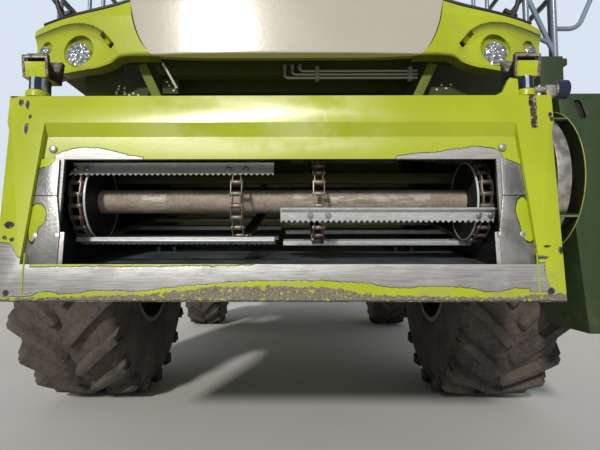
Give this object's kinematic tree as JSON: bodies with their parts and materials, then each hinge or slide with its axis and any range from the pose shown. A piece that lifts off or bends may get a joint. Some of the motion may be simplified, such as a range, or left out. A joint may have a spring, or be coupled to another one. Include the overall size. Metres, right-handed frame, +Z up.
{
  "type": "combine harvester",
  "caption": "Self-propelled combine harvester on drive and steering wheels, with cab, grain tank, tipping feeder house, folded unloading tube and straw chopper.",
  "frame": {"origin": "centre of the machine's box on the ground, below the middle of its length", "axes": "the machine faces -Y, +X is the driver's left hand, +Z is up"},
  "size_m": [3.98, 8.428, 3.9605],
  "materials": {
    "green_paint": "gloss enamel, worn",
    "pale_panel": "satin enamel",
    "dark_green_paint": "satin enamel",
    "grey_paint": "satin enamel",
    "bare_steel": "worn bright",
    "dark_steel": "oily and dusty",
    "chrome_rod": "polished",
    "rubber_tyre": "dusty",
    "rim_paint": "satin enamel",
    "window_glass": "clear, slightly tinted",
    "lamp_lens": "fluted lens",
    "seat_cloth": "woven",
    "black_plastic": "moulded",
    "mirror_shell": "moulded"
  },
  "bodies": {
    "root": {"chassis_frame": "green_paint", "front_axle": "green_paint", "rear_axle": "green_paint", "threshing_body": "green_paint", "grain_tank": "green_paint", "engine_hood": "green_paint", "engine_block": "dark_steel", "dust_screen": "dark_steel", "exhaust": "dark_steel", "rear_hood": "green_paint", "chopper": "green_paint", "auger_turret": "green_paint", "cab_body": "pale_panel", "cab_glass": "window_glass", "cab_roof": "pale_panel", "seat_frame": "black_plastic", "seat_cushion": "seat_cloth", "steering_column": "black_plastic", "fascia_centre": "pale_panel", "fascia_lobes": "green_paint", "lamps": "lamp_lens", "platforms": "green_paint", "railings": "grey_paint", "ladder": "dark_green_paint", "hydraulic_pipes": "bare_steel", "mirrors": "mirror_shell", "rear_ladder": "grey_paint"},
    "feeder": {"face_frame": "green_paint", "feeder_channel": "green_paint", "fill_plates": "bare_steel", "conveyor": "dark_steel", "feed_pulley": "dark_steel", "coupler": "black_plastic", "pulley_guard": "dark_steel"},
    "front_wheel_left": {"front_tyre_left": "rubber_tyre", "front_rim_left": "rim_paint"},
    "rear_wheel_left": {"rear_tyre_left": "rubber_tyre", "rear_rim_left": "rim_paint"},
    "knuckle_left": {"knuckle_left": "green_paint"},
    "hook_left": {"hook_left": "bare_steel"},
    "lift_barrel_left": {"lift_barrel_left": "green_paint"},
    "lift_rod_left": {"lift_rod_left": "chrome_rod"},
    "tank_lid_left": {"tank_lid_left": "green_paint"},
    "side_panel_left": {"side_panel_left": "green_paint"},
    "front_wheel_right": {"front_tyre_right": "rubber_tyre", "front_rim_right": "rim_paint"},
    "rear_wheel_right": {"rear_tyre_right": "rubber_tyre", "rear_rim_right": "rim_paint"},
    "knuckle_right": {"knuckle_right": "green_paint"},
    "hook_right": {"hook_right": "bare_steel"},
    "lift_barrel_right": {"lift_barrel_right": "green_paint"},
    "lift_rod_right": {"lift_rod_right": "chrome_rod"},
    "tank_lid_right": {"tank_lid_right": "green_paint"},
    "side_panel_right": {"side_panel_right": "green_paint"},
    "tie_rod": {"tie_rod": "dark_steel"},
    "cab_door": {"cab_door": "pale_panel", "door_glass": "window_glass"},
    "unloading_tube": {"unloading_tube": "green_paint"}
  },
  "joints": [
    {"name": "feeder_lift", "type": "hinge", "parent": "root", "child": "feeder", "pos_m": [0, -2.336, 1.55], "axis": [-1, 0, 0], "range_deg": [-16, 10]},
    {"name": "front_wheel_spin_left", "type": "hinge", "parent": "root", "child": "front_wheel_left", "pos_m": [1.405, -2.236, 0.96], "axis": [1, 0, 0], "continuous": true},
    {"name": "steer_left", "type": "hinge", "parent": "root", "child": "knuckle_left", "pos_m": [1.11, 1.514, 0.655], "axis": [0, 0, 1], "range_deg": [-40, 40]},
    {"name": "rear_wheel_spin_left", "type": "hinge", "parent": "knuckle_left", "child": "rear_wheel_left", "pos_m": [1.425, 1.514, 0.655], "axis": [1, 0, 0], "continuous": true},
    {"name": "hook_slide_left", "type": "slide", "parent": "feeder", "child": "hook_left", "axis": [0, 0, 1], "range_m": [0, 0.1]},
    {"name": "lift_barrel_pivot_left", "type": "hinge", "parent": "root", "child": "lift_barrel_left", "pos_m": [0.62, -2.476, 0.8], "axis": [-1, 0, 0], "range_deg": [-20, 14]},
    {"name": "lift_rod_slide_left", "type": "slide", "parent": "lift_barrel_left", "child": "lift_rod_left", "axis": [0, -0.981, 0.1942], "range_m": [-0.23, 0.15]},
    {"name": "tank_lid_hinge_left", "type": "hinge", "parent": "root", "child": "tank_lid_left", "pos_m": [1.196, -0.536, 3.622], "axis": [0, 1, 0], "range_deg": [0, 100]},
    {"name": "side_panel_hinge_left", "type": "hinge", "parent": "root", "child": "side_panel_left", "pos_m": [1.468, 0.464, 2.508], "axis": [0, -1, 0], "range_deg": [0, 80]},
    {"name": "front_wheel_spin_right", "type": "hinge", "parent": "root", "child": "front_wheel_right", "pos_m": [-1.405, -2.236, 0.96], "axis": [1, 0, 0], "continuous": true},
    {"name": "steer_right", "type": "hinge", "parent": "root", "child": "knuckle_right", "pos_m": [-1.11, 1.514, 0.655], "axis": [0, 0, 1], "range_deg": [-40, 40]},
    {"name": "rear_wheel_spin_right", "type": "hinge", "parent": "knuckle_right", "child": "rear_wheel_right", "pos_m": [-1.425, 1.514, 0.655], "axis": [1, 0, 0], "continuous": true},
    {"name": "hook_slide_right", "type": "slide", "parent": "feeder", "child": "hook_right", "axis": [0, 0, 1], "range_m": [0, 0.1]},
    {"name": "lift_barrel_pivot_right", "type": "hinge", "parent": "root", "child": "lift_barrel_right", "pos_m": [-0.62, -2.476, 0.8], "axis": [-1, 0, 0], "range_deg": [-20, 14]},
    {"name": "lift_rod_slide_right", "type": "slide", "parent": "lift_barrel_right", "child": "lift_rod_right", "axis": [0, -0.981, 0.1942], "range_m": [-0.23, 0.15]},
    {"name": "tank_lid_hinge_right", "type": "hinge", "parent": "root", "child": "tank_lid_right", "pos_m": [-1.196, -0.536, 3.622], "axis": [0, -1, 0], "range_deg": [0, 100]},
    {"name": "side_panel_hinge_right", "type": "hinge", "parent": "root", "child": "side_panel_right", "pos_m": [-1.468, 0.464, 2.508], "axis": [0, 1, 0], "range_deg": [0, 80]},
    {"name": "tie_rod_pivot", "type": "hinge", "parent": "knuckle_left", "child": "tie_rod", "pos_m": [1.11, 1.744, 0.617], "axis": [0, 0, 1], "range_deg": [-41, 41]},
    {"name": "cab_door_hinge", "type": "hinge", "parent": "root", "child": "cab_door", "pos_m": [0.908, -2.375, 2.98], "axis": [0, 0, 1], "range_deg": [0, 68]},
    {"name": "tube_swing", "type": "hinge", "parent": "root", "child": "unloading_tube", "pos_m": [1.4, -1.576, 2.9], "axis": [0, 0, -1], "range_deg": [0, 100]}
  ],
  "couplings": [
    {"joint": "lift_barrel_pivot_left", "follows": "feeder_lift", "ratio": 1.0486},
    {"joint": "lift_rod_slide_left", "follows": "feeder_lift", "m_per_rad": 0.7549},
    {"joint": "lift_barrel_pivot_right", "follows": "feeder_lift", "ratio": 1.0486},
    {"joint": "lift_rod_slide_right", "follows": "feeder_lift", "m_per_rad": 0.7549},
    {"joint": "steer_right", "follows": "steer_left", "ratio": 1},
    {"joint": "tie_rod_pivot", "follows": "steer_left", "ratio": -1}
  ]
}
